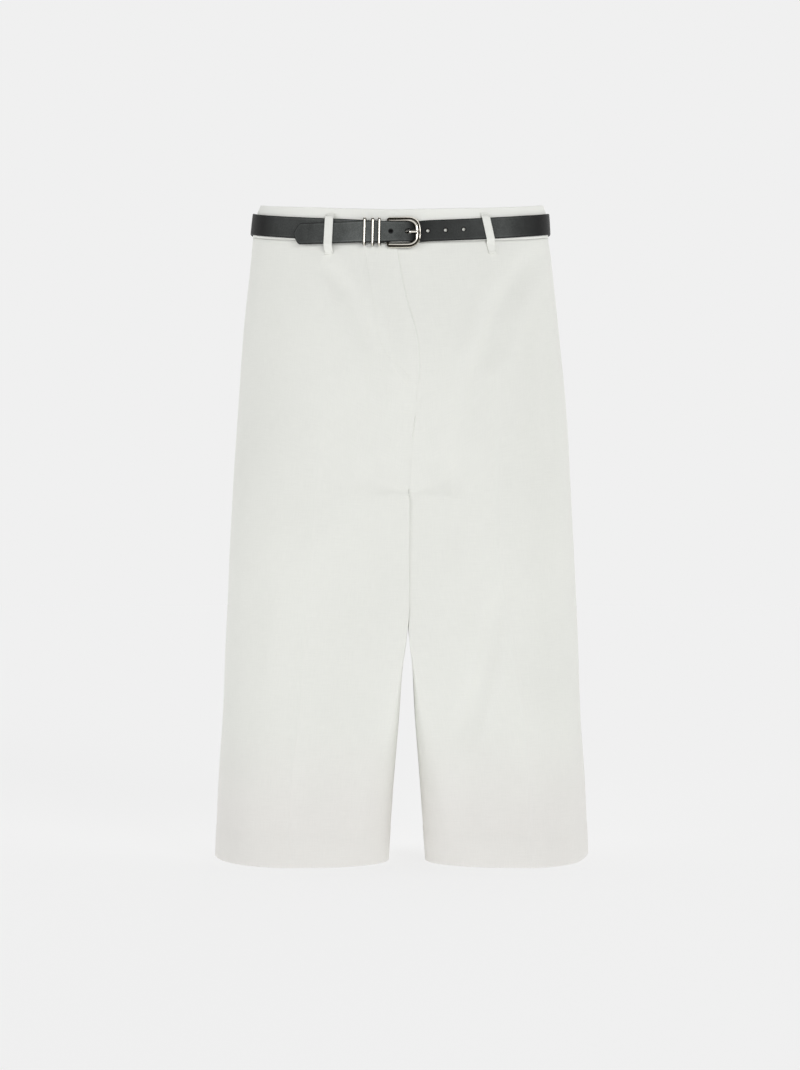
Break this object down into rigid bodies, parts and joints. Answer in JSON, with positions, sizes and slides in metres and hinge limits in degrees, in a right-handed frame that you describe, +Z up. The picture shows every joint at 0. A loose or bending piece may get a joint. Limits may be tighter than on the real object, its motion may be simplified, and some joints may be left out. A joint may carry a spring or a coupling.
{
  "type": "culottes with belt",
  "caption": "Straight wide-leg cropped culottes in plain suiting with pressed creases, fly front and belt loops, worn with a narrow leather belt with a metal buckle and keepers.",
  "frame": {"origin": "middle of the waist, at the height of the belt's side stretches", "axes": "+Z up from the hems to the waist, front faces -Y, +X towards the wearer's left"},
  "size_m": [0.3929, 0.2202, 0.6824],
  "materials": {
    "cloth": "matt off-white suiting in a fine plain weave",
    "leather": "slate-black fine-grained leather with a low sheen",
    "metal": "polished pale gold plating"
  },
  "bodies": {
    "root": {"front_r": "cloth", "front_l": "cloth", "back_r": "cloth", "back_l": "cloth", "waistband_r": "cloth", "waistband_l": "cloth", "loop_front_r": "cloth", "loop_front_l": "cloth", "loop_side_r": "cloth", "loop_side_l": "cloth", "loop_back": "cloth", "belt": "leather", "buckle_frame": "metal", "buckle_prong": "metal", "keeper_1": "metal", "keeper_2": "metal", "keeper_3": "metal"}
  },
  "joints": []
}
